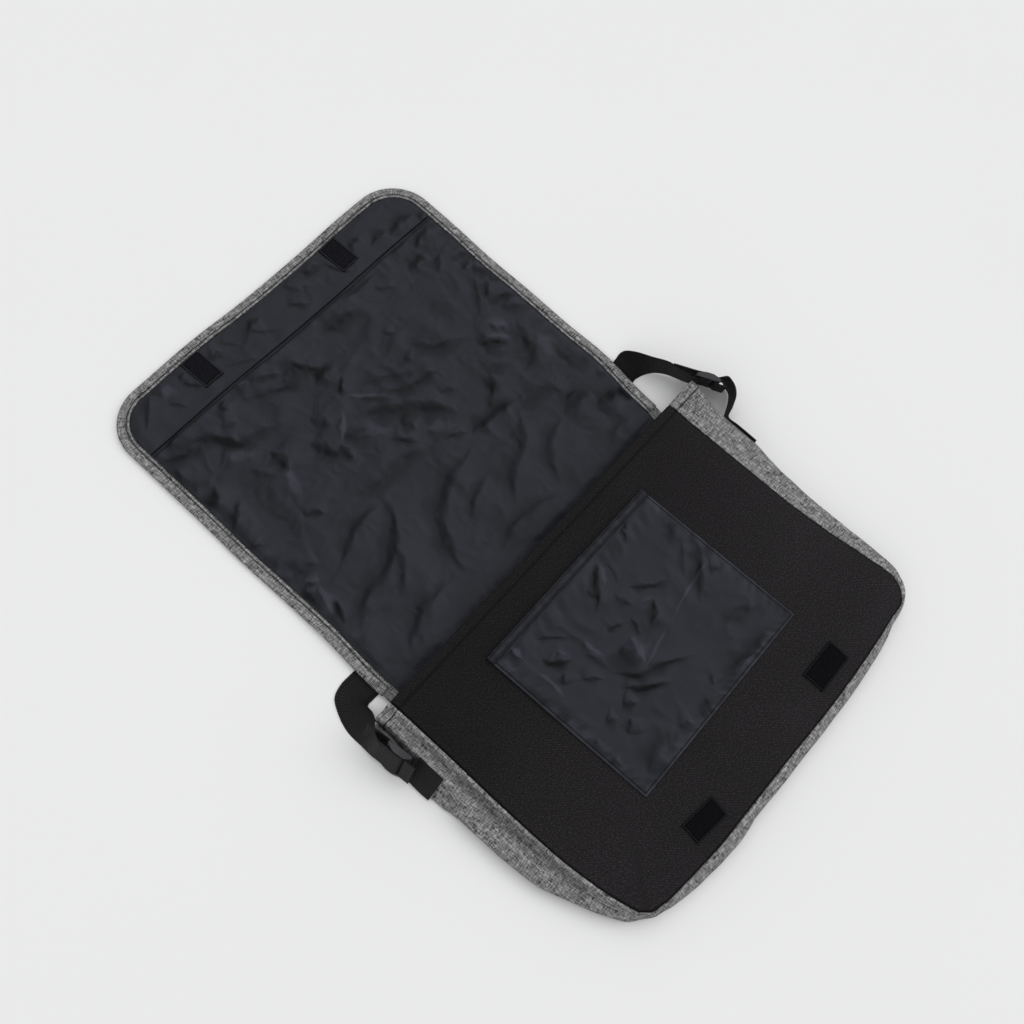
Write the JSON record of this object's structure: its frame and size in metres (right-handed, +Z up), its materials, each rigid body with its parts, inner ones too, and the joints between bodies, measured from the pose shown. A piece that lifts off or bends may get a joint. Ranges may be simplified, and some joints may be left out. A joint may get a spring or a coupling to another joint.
{
  "type": "laptop messenger bag",
  "caption": "Flat laptop messenger bag on its back, flap laid open, with a patch pocket, hook and loop fastening and a webbing shoulder strap on tri-glide buckles.",
  "frame": {"origin": "middle of the whole bag's outline on the surface it lies on", "axes": "+X along the mouth towards the right side, +Y from the bag's bottom to the flap's free end, +Z up"},
  "size_m": [0.5, 0.6808, 0.0384],
  "materials": {
    "heather_cloth": "heather grey woven polyester with light and dark cross streaks",
    "black_canvas": "matt black canvas with a faint diagonal twill",
    "slate_nylon": "thin dark slate nylon with a soft sheen and puckers",
    "black_webbing": "black ribbed polypropylene webbing",
    "loop_tape": "black loop tape with a dense short pile",
    "hook_tape": "black hook tape with fine rows of hooks",
    "black_plastic": "moulded dark plastic, slightly satin"
  },
  "bodies": {
    "root": {"back_panel": "heather_cloth", "gusset": "heather_cloth", "front_panel": "black_canvas", "front_pocket": "slate_nylon", "pocket_hem": "slate_nylon", "loop_patch_left": "loop_tape", "loop_patch_right": "loop_tape", "flap_shell": "heather_cloth", "flap_lining": "slate_nylon", "flap_facing": "slate_nylon", "flap_binding": "heather_cloth", "hook_tab_left": "hook_tape", "hook_tab_right": "hook_tape", "strap_buckle_left": "black_plastic", "strap_buckle_right": "black_plastic", "strap_anchor_left": "black_webbing", "strap_anchor_right": "black_webbing", "shoulder_strap": "black_webbing"}
  },
  "joints": []
}
